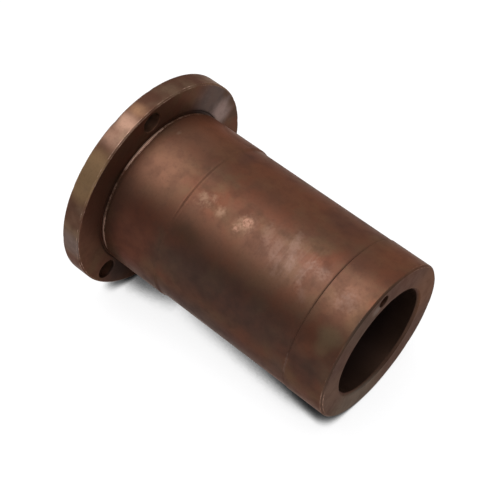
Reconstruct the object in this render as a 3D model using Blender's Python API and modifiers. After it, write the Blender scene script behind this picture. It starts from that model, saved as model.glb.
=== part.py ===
"""Flanged bronze sleeve bushing, modelled as a turned sleeve with a shrunk-on flange ring.

The bore axis lies along +X, from the flange to the nose, and the origin is on that axis halfway
along the part. Every turned profile is drawn in its own upright frame, with the radius along local
X and the bore axis along local Z, and the parent empty lays that frame down along world X.
All sizes are in metres.
"""

import math

import bmesh
import bpy

# Driving sizes across the axis
BORE_DIAMETER = 0.0550
WALL_THICKNESS = 0.0125
FLANGE_LAND_RISE = 0.0004
FLANGE_LEDGE = 0.0146
SEAT_CLEARANCE = 0.0005
RELIEF_DEPTH = 0.00025
RUNOUT_DEPTH = 0.0003
UNDERCUT_DEPTH = 0.0014
COLLAR_RISE = 0.0005
SHOULDER_HEIGHT = 0.0015

# Driving sizes along the axis, from the flange to the nose
FLANGE_THICKNESS = 0.0100
SEAT_RELIEF = 0.0003
COLLAR_WIDTH = 0.0011
UNDERCUT_WIDTH = 0.0015
FLANGE_LAND_LENGTH = 0.0310
RELIEF_LENGTH = 0.0767
RUNOUT_WIDTH = 0.0008
NOSE_LAND_LENGTH = 0.0210

# Clearance that stands for the shrink fit between ring and sleeve
FIT_GAP = 0.0003

# Drilled holes
BOLT_HOLE_COUNT = 3
BOLT_HOLE_DIAMETER = 0.0100
NOSE_HOLE_DIAMETER = 0.0060
NOSE_HOLE_DEPTH = 0.0200
NOSE_HOLE_OFFSET = 0.0010
DRILL_POINT_ANGLE = math.radians(118.0)
HOLE_CLOCKING = math.radians(10.4)

# Edge breaks
NOSE_CHAMFER = 0.0009
BORE_CHAMFER = 0.0012
FLANGE_CHAMFER = 0.0007
LAND_EDGE_BREAK = 0.0003
COLLAR_ROUND = 0.0004
SEAM_CHAMFER = 0.0004
HOLE_CHAMFER = 0.0004

# Facets
TURNED_STEPS = 96
DRILLED_STEPS = 32
ROUND_STEPS = 4
SMOOTH_ANGLE = math.radians(30.0)
MERGE_DISTANCE = 0.00001
CUTTER_OVERSHOOT = 0.0010

# Radii that follow from the driving sizes
bore_radius = BORE_DIAMETER / 2
nose_land_radius = bore_radius + WALL_THICKNESS
flange_land_radius = nose_land_radius + FLANGE_LAND_RISE
flange_radius = flange_land_radius + FLANGE_LEDGE
relief_radius = nose_land_radius - RELIEF_DEPTH
runout_radius = relief_radius - RUNOUT_DEPTH
undercut_radius = flange_land_radius - UNDERCUT_DEPTH
collar_radius = undercut_radius + COLLAR_RISE
collar_round = min(COLLAR_ROUND, COLLAR_RISE, COLLAR_WIDTH)
spigot_radius = collar_radius - SHOULDER_HEIGHT
ring_bore_radius = spigot_radius + FIT_GAP
seat_inner_radius = flange_land_radius + SEAT_CLEARANCE
bolt_circle_radius = (flange_land_radius + flange_radius) / 2
nose_hole_circle_radius = (bore_radius + nose_land_radius) / 2 + NOSE_HOLE_OFFSET

# Stations along the axis, measured from the flange's back face
relief_face = FLANGE_THICKNESS - SEAT_RELIEF
collar_start = relief_face + FIT_GAP
undercut_start = collar_start + COLLAR_WIDTH
flange_land_start = undercut_start + UNDERCUT_WIDTH
relief_start = flange_land_start + FLANGE_LAND_LENGTH
nose_land_start = relief_start + RELIEF_LENGTH
overall_length = nose_land_start + NOSE_LAND_LENGTH


def clear_scene():
    """Remove every object that is already in the file."""
    for existing in list(bpy.data.objects):
        bpy.data.objects.remove(existing, do_unlink=True)


def add_collection(name):
    """Make a collection in the scene and return it."""
    collection = bpy.data.collections.new(name)
    bpy.context.scene.collection.children.link(collection)
    return collection


def add_material(name, color, roughness):
    """Make a bronze Principled material of one colour."""
    material = bpy.data.materials.new(name)
    material.use_nodes = True
    shader = material.node_tree.nodes["Principled BSDF"]
    shader.inputs["Base Color"].default_value = (*color, 1.0)
    shader.inputs["Metallic"].default_value = 1.0
    shader.inputs["Roughness"].default_value = roughness
    return material


def quarter_round(center, radius, start_angle, end_angle):
    """Points of an arc about center, in (radius, station), from start to end angle."""
    points = []
    for step in range(ROUND_STEPS + 1):
        angle = start_angle + (end_angle - start_angle) * step / ROUND_STEPS
        across = center[0] + radius * math.cos(angle)
        along = center[1] + radius * math.sin(angle)
        points.append((across, along))
    return points


def add_turned(name, profile, steps, collection, parent):
    """Turn a closed or axis-to-axis profile of (radius, station) points about local Z."""
    closed = profile[0][0] > 0.0
    mesh = bpy.data.meshes.new(name)
    sketch = bmesh.new()
    corners = [sketch.verts.new((across, 0.0, along)) for across, along in profile]
    for first, second in zip(corners, corners[1:]):
        sketch.edges.new((first, second))
    if closed:
        sketch.edges.new((corners[-1], corners[0]))
    sketch.to_mesh(mesh)
    sketch.free()

    turned = bpy.data.objects.new(name, mesh)
    turned.parent = parent
    collection.objects.link(turned)
    screw = turned.modifiers.new("turn", "SCREW")
    screw.axis = "Z"
    screw.angle = 2 * math.pi
    screw.steps = steps
    screw.render_steps = steps
    screw.use_merge_vertices = True
    screw.merge_threshold = MERGE_DISTANCE
    screw.use_normal_calculate = False
    screw.use_smooth_shade = True
    return turned


def bake_turned(turned):
    """Replace a turned object's sketch by its evaluated mesh, shaded smooth between edges."""
    view = bpy.context.evaluated_depsgraph_get()
    solid = bpy.data.meshes.new_from_object(turned.evaluated_get(view))
    solid.name = turned.name
    turned.modifiers.clear()
    turned.data = solid
    solid.shade_smooth()
    solid.set_sharp_from_angle(angle=SMOOTH_ANGLE)


def cut_holes(solid, cutters):
    """Drill a solid with each of the cutters."""
    for cutter in cutters:
        drill = solid.modifiers.new(cutter.name, "BOOLEAN")
        drill.operation = "DIFFERENCE"
        drill.solver = "EXACT"
        drill.object = cutter


def hide_cutter(cutter):
    """Show a cutter as wires only."""
    cutter.hide_render = True
    cutter.display_type = "WIRE"


def place_on_circle(cutter, circle_radius, angle):
    """Put a cutter at an angle on a circle about the bore axis.

    Angle 0 is straight up as the part lies, and angles grow towards world -Y.
    """
    cutter.location.x = -circle_radius * math.cos(angle)
    cutter.location.y = -circle_radius * math.sin(angle)


def sleeve_profile():
    """Section of the sleeve: along the nose face, down the outside, and back up the bore."""
    nose_face = [
        (bore_radius + BORE_CHAMFER, overall_length),
        (nose_land_radius - NOSE_CHAMFER, overall_length),
        (nose_land_radius, overall_length - NOSE_CHAMFER),
    ]
    runout_end = nose_land_start - (nose_land_radius - runout_radius)
    relieved_middle = [
        (nose_land_radius, nose_land_start),
        (runout_radius, runout_end),
        (relief_radius, runout_end - RUNOUT_WIDTH),
        (relief_radius, relief_start + (flange_land_radius - relief_radius)),
        (flange_land_radius, relief_start),
    ]
    undercut = [
        (flange_land_radius, flange_land_start + LAND_EDGE_BREAK),
        (flange_land_radius - LAND_EDGE_BREAK, flange_land_start),
        (undercut_radius, flange_land_start),
        (undercut_radius, undercut_start),
    ]
    round_center = (collar_radius - collar_round, undercut_start - collar_round)
    collar = quarter_round(round_center, collar_round, math.pi / 2, 0.0)
    spigot = [
        (collar_radius, collar_start),
        (spigot_radius, collar_start),
        (spigot_radius, SEAM_CHAMFER),
        (spigot_radius - SEAM_CHAMFER, 0.0),
    ]
    bore = [
        (bore_radius + BORE_CHAMFER, 0.0),
        (bore_radius, BORE_CHAMFER),
        (bore_radius, overall_length - BORE_CHAMFER),
    ]
    return nose_face + relieved_middle + undercut + collar + spigot + bore


def flange_profile():
    """Section of the flange ring, from its relieved inner face over the seat and round to its bore."""
    return [
        (ring_bore_radius + SEAM_CHAMFER, relief_face),
        (seat_inner_radius, relief_face),
        (seat_inner_radius, FLANGE_THICKNESS),
        (flange_radius - FLANGE_CHAMFER, FLANGE_THICKNESS),
        (flange_radius, FLANGE_THICKNESS - FLANGE_CHAMFER),
        (flange_radius, FLANGE_CHAMFER),
        (flange_radius - FLANGE_CHAMFER, 0.0),
        (ring_bore_radius + SEAM_CHAMFER, 0.0),
        (ring_bore_radius, SEAM_CHAMFER),
        (ring_bore_radius, relief_face - SEAM_CHAMFER),
    ]


def bolt_drill_profile():
    """Section of a through drill that breaks the hole's edge on both flange faces."""
    hole_radius = BOLT_HOLE_DIAMETER / 2
    flare_radius = hole_radius + HOLE_CHAMFER + CUTTER_OVERSHOOT
    return [
        (0.0, FLANGE_THICKNESS + CUTTER_OVERSHOOT),
        (flare_radius, FLANGE_THICKNESS + CUTTER_OVERSHOOT),
        (hole_radius, FLANGE_THICKNESS - HOLE_CHAMFER),
        (hole_radius, HOLE_CHAMFER),
        (flare_radius, -CUTTER_OVERSHOOT),
        (0.0, -CUTTER_OVERSHOOT),
    ]


def nose_drill_profile():
    """Section of a blind drill with a pointed end and a broken mouth edge."""
    hole_radius = NOSE_HOLE_DIAMETER / 2
    flare_radius = hole_radius + HOLE_CHAMFER + CUTTER_OVERSHOOT
    point_length = hole_radius / math.tan(DRILL_POINT_ANGLE / 2)
    return [
        (0.0, overall_length + CUTTER_OVERSHOOT),
        (flare_radius, overall_length + CUTTER_OVERSHOOT),
        (hole_radius, overall_length - HOLE_CHAMFER),
        (hole_radius, overall_length - NOSE_HOLE_DEPTH),
        (0.0, overall_length - NOSE_HOLE_DEPTH - point_length),
    ]


def build_sleeve(parts, cutters, axis):
    """The bearing sleeve, with the drilled hole in its nose face in line with a bolt hole."""
    sleeve = add_turned("sleeve", sleeve_profile(), TURNED_STEPS, parts, axis)
    bake_turned(sleeve)
    sleeve.data.materials.append(add_material("sleeve_bronze", (0.30, 0.15, 0.09), 0.38))
    drill = add_turned("nose_drill", nose_drill_profile(), DRILLED_STEPS, cutters, axis)
    place_on_circle(drill, nose_hole_circle_radius, HOLE_CLOCKING)
    hide_cutter(drill)
    cut_holes(sleeve, [drill])
    return sleeve


def build_flange_ring(parts, cutters, axis):
    """The bolt flange, with its holes spaced evenly on a circle midway across the ledge."""
    ring = add_turned("flange_ring", flange_profile(), TURNED_STEPS, parts, axis)
    bake_turned(ring)
    ring.data.materials.append(add_material("flange_bronze", (0.28, 0.17, 0.09), 0.40))
    drills = []
    for number in range(BOLT_HOLE_COUNT):
        name = f"bolt_drill_{number + 1}"
        drill = add_turned(name, bolt_drill_profile(), DRILLED_STEPS, cutters, axis)
        angle = HOLE_CLOCKING + 2 * math.pi * number / BOLT_HOLE_COUNT
        place_on_circle(drill, bolt_circle_radius, angle)
        hide_cutter(drill)
        drills.append(drill)
    cut_holes(ring, drills)
    return ring


def main():
    """Build the bushing about its bore axis."""
    clear_scene()
    parts = add_collection("sleeve_bushing")
    cutters = add_collection("sleeve_bushing_cutters")
    axis = bpy.data.objects.new("bore_axis", None)
    axis.location.x = -overall_length / 2
    axis.rotation_euler.y = math.pi / 2
    parts.objects.link(axis)
    build_sleeve(parts, cutters, axis)
    build_flange_ring(parts, cutters, axis)
    bpy.context.view_layer.update()


main()
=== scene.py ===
# %% [markdown]
# # A flanged bronze bushing
# This lesson dresses the solids of a turned bronze bushing for a picture. The bushing is a plain
# bearing: a thick bronze tube that carries a shaft in its bore, with a bolt flange shrunk on to one
# end. The solids fix every size and place. What is added here is what a lathe, a housing and years
# on a shelf leave behind: softened edges, nicks, tool marks, brown oxide and rubbed bright patches.

# %% Load the frame
import math
from collections import namedtuple

import bmesh
import bpy
import numpy as np
from mathutils import Matrix, Vector


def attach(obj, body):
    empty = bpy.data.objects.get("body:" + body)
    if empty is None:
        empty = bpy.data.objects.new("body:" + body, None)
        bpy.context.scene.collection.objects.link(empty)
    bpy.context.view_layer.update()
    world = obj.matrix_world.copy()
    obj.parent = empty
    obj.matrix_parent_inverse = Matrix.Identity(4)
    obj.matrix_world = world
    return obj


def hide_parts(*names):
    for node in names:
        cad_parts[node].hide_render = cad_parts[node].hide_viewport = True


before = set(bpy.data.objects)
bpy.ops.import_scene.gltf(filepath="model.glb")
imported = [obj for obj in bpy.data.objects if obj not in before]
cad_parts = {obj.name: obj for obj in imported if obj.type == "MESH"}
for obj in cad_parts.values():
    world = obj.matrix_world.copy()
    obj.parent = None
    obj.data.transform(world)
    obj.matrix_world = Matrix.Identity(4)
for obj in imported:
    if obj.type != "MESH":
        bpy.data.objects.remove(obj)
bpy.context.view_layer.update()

print("solids to dress:", sorted(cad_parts))

# %% [markdown]
# ## Sizes
# The outer sizes are measured on the solids, so the dressed pieces can't drift away from them. The
# bore axis is X, and the flange end is at low X. The narrow steps of the sleeve are the turner's
# own small sizes, and they are named here once.

# %% Measure the solids


def node_rings(name):
    """Station along X and distance from the bore axis of every corner of a solid."""
    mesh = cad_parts[name].data
    corners = np.empty(len(mesh.vertices) * 3)
    mesh.vertices.foreach_get("co", corners)
    x, y, z = corners.reshape(-1, 3).T
    return x, np.hypot(y, z)


sleeve_x, sleeve_r = node_rings("sleeve")
ring_x, ring_r = node_rings("flange_ring")
back_x = sleeve_x.min()
nose_x = sleeve_x.max()
seat_x = ring_x.max()
bore_radius = sleeve_r.min()
flange_radius = ring_r.max()
flange_land_radius = sleeve_r.max()
NOSE_REACH = 0.010
nose_land_radius = sleeve_r[sleeve_x > nose_x - NOSE_REACH].max()
print(f"length {(nose_x - back_x) * 1000:.1f} mm, flange {flange_radius * 2000:.1f} mm across")
print(f"bore {bore_radius * 2000:.1f} mm, lands {flange_land_radius * 2000:.1f} mm "
      f"and {nose_land_radius * 2000:.1f} mm")

# %% Small sizes of the turned steps
COLLAR_WIDTH = 0.0011
UNDERCUT_WIDTH = 0.0015
FLANGE_LAND_LENGTH = 0.0310
RELIEF_LENGTH = 0.0767
RELIEF_DEPTH = 0.00025
RUNOUT_DEPTH = 0.00016
RUNOUT_WIDTH = 0.0008
UNDERCUT_DEPTH = 0.0014
COLLAR_RISE = 0.0005
SHOULDER_HEIGHT = 0.0015
SEAT_RELIEF = 0.0003
SEAT_CLEARANCE = 0.0005
NOSE_CHAMFER = 0.0009
BORE_CHAMFER = 0.0012
FLANGE_CHAMFER = 0.0007
SEAM_CHAMFER = 0.0004
SEAM_GAP = 0.00005
HOLE_CHAMFER = 0.0002

relief_radius = nose_land_radius - RELIEF_DEPTH
runout_radius = relief_radius - RUNOUT_DEPTH
undercut_radius = flange_land_radius - UNDERCUT_DEPTH
collar_radius = undercut_radius + COLLAR_RISE
spigot_radius = collar_radius - SHOULDER_HEIGHT
ring_bore_radius = spigot_radius + SEAM_GAP
seat_inner_radius = flange_land_radius + SEAT_CLEARANCE
relief_face_x = seat_x - SEAT_RELIEF
collar_x = seat_x
undercut_x = collar_x + COLLAR_WIDTH
flange_land_x = undercut_x + UNDERCUT_WIDTH
relief_x = flange_land_x + FLANGE_LAND_LENGTH
nose_land_x = relief_x + RELIEF_LENGTH
runout_x = nose_land_x - RELIEF_DEPTH - RUNOUT_DEPTH

BOLT_HOLE_COUNT = 3
BOLT_HOLE_RADIUS = 0.0050
NOSE_HOLE_RADIUS = 0.0030
NOSE_HOLE_DEPTH = 0.0200
NOSE_HOLE_OFFSET = 0.0010
DRILL_POINT_ANGLE = math.radians(118.0)
HOLE_CLOCKING = math.radians(10.4)
bolt_circle_radius = (flange_land_radius + flange_radius) / 2
nose_hole_circle_radius = (bore_radius + nose_land_radius) / 2 + NOSE_HOLE_OFFSET
print(f"bolt circle {bolt_circle_radius * 2000:.1f} mm")

# %% [markdown]
# ## From a profile to a skin
# A turned piece is one outline carried round the bore axis. The solids have sharp outlines, which
# catch no light. Here each corner of an outline becomes a small arc, and the straight stretches get
# points that crowd towards the corners, so that smooth shading stays flat where the metal is flat.
# A Bevel modifier could round the corners too, but a computed outline keeps the columns in line
# with the drilled holes.

# %% Round an outline
ARC_STEPS = 4
LARGEST_SHARE = 0.45
CORNER_CROWDING = np.array([0.00015, 0.0005, 0.0014])
FACE_STEP = 0.0025
LAND_STEP = 0.0020
BORE_STEP = 0.0040


def straight_points(start, end, longest):
    """Points from start to end, crowded at both ends.

    The distances from either end are the crowding list, and even steps fill the middle.
    """
    length = np.hypot(*(end - start))
    near = CORNER_CROWDING[CORNER_CROWDING < length * LARGEST_SHARE]
    reach = near[-1] if len(near) else 0.0
    count = max(2, int(math.ceil((length - 2 * reach) / longest)) + 1)
    middle = np.linspace(reach, length - reach, count)
    along = np.unique(np.concatenate([[0.0], near, middle, length - near, [length]]).round(9))
    return start + (end - start) * (along / length)[:, None]


def rounded_outline(corners, longest):
    """Outline of (station, radius) points with each inner corner replaced by an arc.

    A corner is (station, radius, rounding). The arc touches both sides at rounding / tan(half the
    angle between them), and its centre lies on the angle's bisector.
    """
    corners = np.array(corners, dtype=float)
    places = corners[:, :2]
    stretches = []
    previous_end = places[0]
    for index in range(1, len(places) - 1):
        to_last = places[index - 1] - places[index]
        to_next = places[index + 1] - places[index]
        shortest = min(np.hypot(*to_last), np.hypot(*to_next))
        to_last = to_last / np.hypot(*to_last)
        to_next = to_next / np.hypot(*to_next)
        half_angle = math.acos(np.clip(to_last @ to_next, -1.0, 1.0)) / 2
        reach = min(corners[index, 2] / math.tan(half_angle), LARGEST_SHARE * shortest)
        rounding = reach * math.tan(half_angle)
        bisector = (to_last + to_next) / np.hypot(*(to_last + to_next))
        center = places[index] + bisector * rounding / math.sin(half_angle)
        first = places[index] + to_last * reach
        final = places[index] + to_next * reach
        share = np.linspace(0.0, 1.0, ARC_STEPS + 1)[:, None]
        chord = first + (final - first) * share - center
        arc = center + chord / np.hypot(chord[:, 0], chord[:, 1])[:, None] * rounding
        stretches.append(straight_points(previous_end, first, longest))
        stretches.append(arc[1:-1])
        previous_end = final
    stretches.append(straight_points(previous_end, places[-1], longest))
    return np.concatenate(stretches)


print("steps in the arc of a rounded corner:", ARC_STEPS)

# %% Carry an outline round the axis
COLUMNS = 300
column_angles = HOLE_CLOCKING + 2 * math.pi * np.arange(COLUMNS) / COLUMNS


def on_circle(radius, angle):
    """Y and Z of a point at a radius and clock angle: 0 is up, and angles grow towards -Y."""
    return np.stack([-radius * np.sin(angle), radius * np.cos(angle)], axis=-1)


def closed_grid(stations, flat):
    """Points and quads of a grid whose last column joins its first.

    Point (i, j) has station i along X, and the flat place (i, j) in Y and Z.
    """
    rows, columns = flat.shape[:2]
    x = np.broadcast_to(np.reshape(stations, (-1, 1, 1)), (rows, columns, 1))
    points = np.concatenate([x, flat], axis=-1).reshape(-1, 3)
    numbers = np.arange(rows * columns).reshape(rows, columns)
    numbers = np.concatenate([numbers, numbers[:, :1]], axis=1)
    corners = [numbers[:-1, :-1], numbers[:-1, 1:], numbers[1:, 1:], numbers[1:, :-1]]
    return points, np.stack(corners, axis=-1).reshape(-1, 4)


def turned_patch(corners, longest):
    """Surface of revolution: point (i, j) is rounded outline point i turned to column angle j."""
    outline = rounded_outline(corners, longest)
    return closed_grid(outline[:, 0], on_circle(outline[:, 1][:, None], column_angles[None, :]))


print("columns round the axis:", COLUMNS)

# %% [markdown]
# ## A face with drilled holes
# A flat face with round holes can't be one polar grid. Each hole gets a small sector of its own:
# straight rays run from the hole's rim to the sector's edge, where they meet the columns of the
# plain grid beside it. A Boolean cut would also do it, but it leaves long thin faces that shade
# badly next to a rounded rim.

# %% Make drilled faces
SECTOR_HALF_COLUMNS = 9
RAY_SHARES = np.array([0.0, 0.03, 0.09, 0.2, 0.36, 0.55, 0.76, 1.0])


def face_rings(inner, outer):
    """Radii from inner to outer, crowded at both ends."""
    return straight_points(np.array([0.0, inner]), np.array([0.0, outer]), FACE_STEP)[:, 1]


def sector_rim(rings, middle_column):
    """Closed loop of Y, Z points round a sector: outer arc, one side, inner arc, other side."""
    steps = np.arange(-SECTOR_HALF_COLUMNS, SECTOR_HALF_COLUMNS + 1)
    angles = column_angles[(middle_column + steps) % COLUMNS]
    outer = on_circle(rings[-1], angles)
    down = on_circle(rings[::-1][1:], angles[-1])
    inner = on_circle(rings[0], angles[::-1][1:])
    rise = on_circle(rings[1:-1], angles[0])
    return np.concatenate([outer, down, inner, rise])


def hole_rays(rings, middle_column, circle_radius):
    """Centre of a hole, the rim of its sector, and the unit directions from the one to the other."""
    center = on_circle(circle_radius, column_angles[middle_column])
    rim = sector_rim(rings, middle_column)
    away = rim - center
    return center, rim, away / np.hypot(away[:, 0], away[:, 1])[:, None]


def drilled_face(station, rings, middle_columns, circle_radius, mouth_radius):
    """Flat annulus at a station, with a round mouth in the middle of each named sector.

    In a sector, point (i, j) lies on the ray from mouth point j to rim point j, at ray share i.
    """
    patches = []
    taken = np.zeros(COLUMNS, dtype=bool)
    for column in middle_columns:
        center, rim, rays = hole_rays(rings, column, circle_radius)
        mouth = center + rays * mouth_radius
        patches.append(closed_grid(station, mouth[None] + (rim - mouth)[None] * RAY_SHARES[:, None, None]))
        steps = np.arange(-SECTOR_HALF_COLUMNS, SECTOR_HALF_COLUMNS)
        taken[(column + steps) % COLUMNS] = True
    points, quads = closed_grid(station, on_circle(rings[:, None], column_angles[None, :]))
    patches.append((points, quads.reshape(-1, COLUMNS, 4)[:, ~taken].reshape(-1, 4)))
    return patches


def drilled_wall(rings, column, circle_radius, outline):
    """Wall of a hole: point (i, j) is outline point i, (station, radius), along hole ray j."""
    center, _, rays = hole_rays(rings, column, circle_radius)
    return closed_grid(outline[:, 0], center + rays[None] * outline[:, 1][:, None, None])


print("columns to a drilled sector:", 2 * SECTOR_HALF_COLUMNS)

# %% Join patches into one closed skin
WELD_REACH = 1e-6


def welded_mesh(name, patches):
    """Mesh of all patches, with points within the weld reach made one.

    A quad with two corners at a pole becomes a triangle, and points that no face uses are dropped.
    """
    offsets = np.cumsum([0] + [len(points) for points, quads in patches[:-1]])
    points = np.concatenate([points for points, quads in patches])
    quads = np.concatenate([quads + offset for (_, quads), offset in zip(patches, offsets)])
    mesh = bpy.data.meshes.new(name)
    mesh.from_pydata(points, [], quads.tolist())
    work = bmesh.new()
    work.from_mesh(mesh)
    unused = [point for point in work.verts if not point.link_faces]
    bmesh.ops.delete(work, geom=unused, context="VERTS")
    bmesh.ops.remove_doubles(work, verts=work.verts, dist=WELD_REACH)
    bmesh.ops.recalc_face_normals(work, faces=work.faces)
    open_edges = sum(not edge.is_manifold for edge in work.edges)
    triangles = sum(len(face.verts) - 2 for face in work.faces)
    work.to_mesh(mesh)
    work.free()
    mesh.shade_smooth()
    print(f"{name}: {len(mesh.vertices)} points, {triangles} triangles, {open_edges} open edges")
    return mesh


print(f"patches weld within {WELD_REACH * 1000} mm")

# %% [markdown]
# ## The sleeve
# On the real part the sleeve was bored, turned on its outside, and necked beside the flange with a
# narrow tool. One outline runs from the nose face over the outside to the tail, and a second one
# back through the bore, where longer steps will do. The nose face is a drilled face with one blind
# hole, which ends in the cone that a twist drill leaves.

# %% Sleeve outline
EDGE_ROUND = 0.00025
SOFT_ROUND = 0.00012
STEP_ROUND = 0.0015
STEP_RUN = 0.0012
FACE_MARGIN = 0.0003
tail_middle_radius = (spigot_radius + bore_radius) / 2
nose_inner = bore_radius + BORE_CHAMFER + FACE_MARGIN
nose_outer = nose_land_radius - NOSE_CHAMFER - FACE_MARGIN

outside_corners = [
    (nose_x, nose_outer, 0.0),
    (nose_x, nose_land_radius - NOSE_CHAMFER, EDGE_ROUND),
    (nose_x - NOSE_CHAMFER, nose_land_radius, EDGE_ROUND),
    (nose_land_x, nose_land_radius, SOFT_ROUND),
    (runout_x, runout_radius, SOFT_ROUND),
    (runout_x - RUNOUT_WIDTH, relief_radius, SOFT_ROUND),
    (relief_x + STEP_RUN, relief_radius, STEP_ROUND),
    (relief_x, flange_land_radius, STEP_ROUND),
    (flange_land_x, flange_land_radius, EDGE_ROUND),
    (flange_land_x, undercut_radius, SOFT_ROUND),
    (undercut_x, undercut_radius, SOFT_ROUND),
    (undercut_x, collar_radius, EDGE_ROUND),
    (collar_x, collar_radius, SOFT_ROUND),
    (collar_x, spigot_radius, SOFT_ROUND),
    (back_x + SEAM_CHAMFER, spigot_radius, SOFT_ROUND),
    (back_x, spigot_radius - SEAM_CHAMFER, SOFT_ROUND),
    (back_x, tail_middle_radius, 0.0),
]
bore_corners = [
    (back_x, tail_middle_radius, 0.0),
    (back_x, bore_radius + BORE_CHAMFER, EDGE_ROUND),
    (back_x + BORE_CHAMFER, bore_radius, EDGE_ROUND),
    (nose_x - BORE_CHAMFER, bore_radius, EDGE_ROUND),
    (nose_x, bore_radius + BORE_CHAMFER, EDGE_ROUND),
    (nose_x, nose_inner, 0.0),
]
print("outline corners:", len(outside_corners) + len(bore_corners))

# %% Sleeve skin
nose_rings = face_rings(nose_inner, nose_outer)
nose_mouth_radius = NOSE_HOLE_RADIUS + HOLE_CHAMFER
drill_point = NOSE_HOLE_RADIUS / math.tan(DRILL_POINT_ANGLE / 2)
nose_hole_corners = [
    (nose_x, nose_mouth_radius, 0.0),
    (nose_x - HOLE_CHAMFER, NOSE_HOLE_RADIUS, SOFT_ROUND),
    (nose_x - NOSE_HOLE_DEPTH, NOSE_HOLE_RADIUS, SOFT_ROUND),
    (nose_x - NOSE_HOLE_DEPTH - drill_point, 0.0, 0.0),
]
nose_hole_outline = rounded_outline(nose_hole_corners, FACE_STEP)

sleeve_patches = [turned_patch(outside_corners, LAND_STEP), turned_patch(bore_corners, BORE_STEP)]
sleeve_patches += drilled_face(nose_x, nose_rings, [0], nose_hole_circle_radius, nose_mouth_radius)
sleeve_patches += [drilled_wall(nose_rings, 0, nose_hole_circle_radius, nose_hole_outline)]
sleeve_mesh = welded_mesh("turned_sleeve", sleeve_patches)

# %% [markdown]
# ## The flange ring
# The ring is a second turned piece with three drilled holes. Both faces use the same rings and
# sectors, so each hole's wall runs straight from one mouth to the other.

# %% Flange skin
bolt_columns = [COLUMNS * number // BOLT_HOLE_COUNT for number in range(BOLT_HOLE_COUNT)]
face_inner = seat_inner_radius + FACE_MARGIN
face_outer = flange_radius - FLANGE_CHAMFER - FACE_MARGIN
flange_rings = face_rings(face_inner, face_outer)
bolt_mouth_radius = BOLT_HOLE_RADIUS + HOLE_CHAMFER

rim_corners = [
    (seat_x, face_outer, 0.0),
    (seat_x, flange_radius - FLANGE_CHAMFER, EDGE_ROUND),
    (seat_x - FLANGE_CHAMFER, flange_radius, EDGE_ROUND),
    (back_x + FLANGE_CHAMFER, flange_radius, EDGE_ROUND),
    (back_x, flange_radius - FLANGE_CHAMFER, EDGE_ROUND),
    (back_x, face_outer, 0.0),
]
ring_bore_corners = [
    (back_x, face_inner, 0.0),
    (back_x, ring_bore_radius + SEAM_CHAMFER, SOFT_ROUND),
    (back_x + SEAM_CHAMFER, ring_bore_radius, SOFT_ROUND),
    (relief_face_x - SEAM_CHAMFER, ring_bore_radius, SOFT_ROUND),
    (relief_face_x, ring_bore_radius + SEAM_CHAMFER, SOFT_ROUND),
    (relief_face_x, seat_inner_radius, SOFT_ROUND),
    (seat_x, seat_inner_radius, SOFT_ROUND),
    (seat_x, face_inner, 0.0),
]
bolt_hole_corners = [
    (seat_x, bolt_mouth_radius, 0.0),
    (seat_x - HOLE_CHAMFER, BOLT_HOLE_RADIUS, SOFT_ROUND),
    (back_x + HOLE_CHAMFER, BOLT_HOLE_RADIUS, SOFT_ROUND),
    (back_x, bolt_mouth_radius, 0.0),
]
bolt_hole_outline = rounded_outline(bolt_hole_corners, LAND_STEP)
flange_patches = [turned_patch(rim_corners, LAND_STEP), turned_patch(ring_bore_corners, FACE_STEP)]
for face_x in (seat_x, back_x):
    flange_patches += drilled_face(
        face_x, flange_rings, bolt_columns, bolt_circle_radius, bolt_mouth_radius
    )
for column in bolt_columns:
    flange_patches += [drilled_wall(flange_rings, column, bolt_circle_radius, bolt_hole_outline)]
flange_mesh = welded_mesh("bolt_flange", flange_patches)

# %% [markdown]
# ## Place the skins
# Each skin stands for its solid and rides on the part's one body, and the solid is hidden.

# %% Put the pieces in the scene


def add_piece(name, mesh, node):
    """Object at the origin that stands for a solid."""
    piece = bpy.data.objects.new(name, mesh)
    bpy.context.scene.collection.objects.link(piece)
    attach(piece, "root")
    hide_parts(node)
    return piece


sleeve = add_piece("turned_sleeve", sleeve_mesh, "sleeve")
flange = add_piece("bolt_flange", flange_mesh, "flange_ring")
print("pieces:", sleeve.name, flange.name)

# %% [markdown]
# ## Knocks on the edges
# A bushing that has been in and out of housings has small knocks along its sharp edges. They could
# be painted as bright spots only, but a knock also breaks the line of the edge, so the points of
# the mesh are pressed in. The places come from a seeded random source, so each run is the same.

# %% Press knocks into an edge
KNOCK_SEED = 23
knock_source = np.random.default_rng(KNOCK_SEED)
KNOCK_REACH = 0.0007
NARROWEST_KNOCK = 0.0009
WIDEST_KNOCK = 0.0022
SHALLOWEST_KNOCK = 0.00006
DEEPEST_KNOCK = 0.00024


def mesh_arrays(mesh):
    """Places and normals of all points of a mesh."""
    places = np.empty(len(mesh.vertices) * 3, dtype=np.float32)
    normals = np.empty(len(mesh.vertices) * 3, dtype=np.float32)
    mesh.vertices.foreach_get("co", places)
    mesh.vertex_normals.foreach_get("vector", normals)
    return places.reshape(-1, 3).astype(float), normals.reshape(-1, 3).astype(float)


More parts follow.
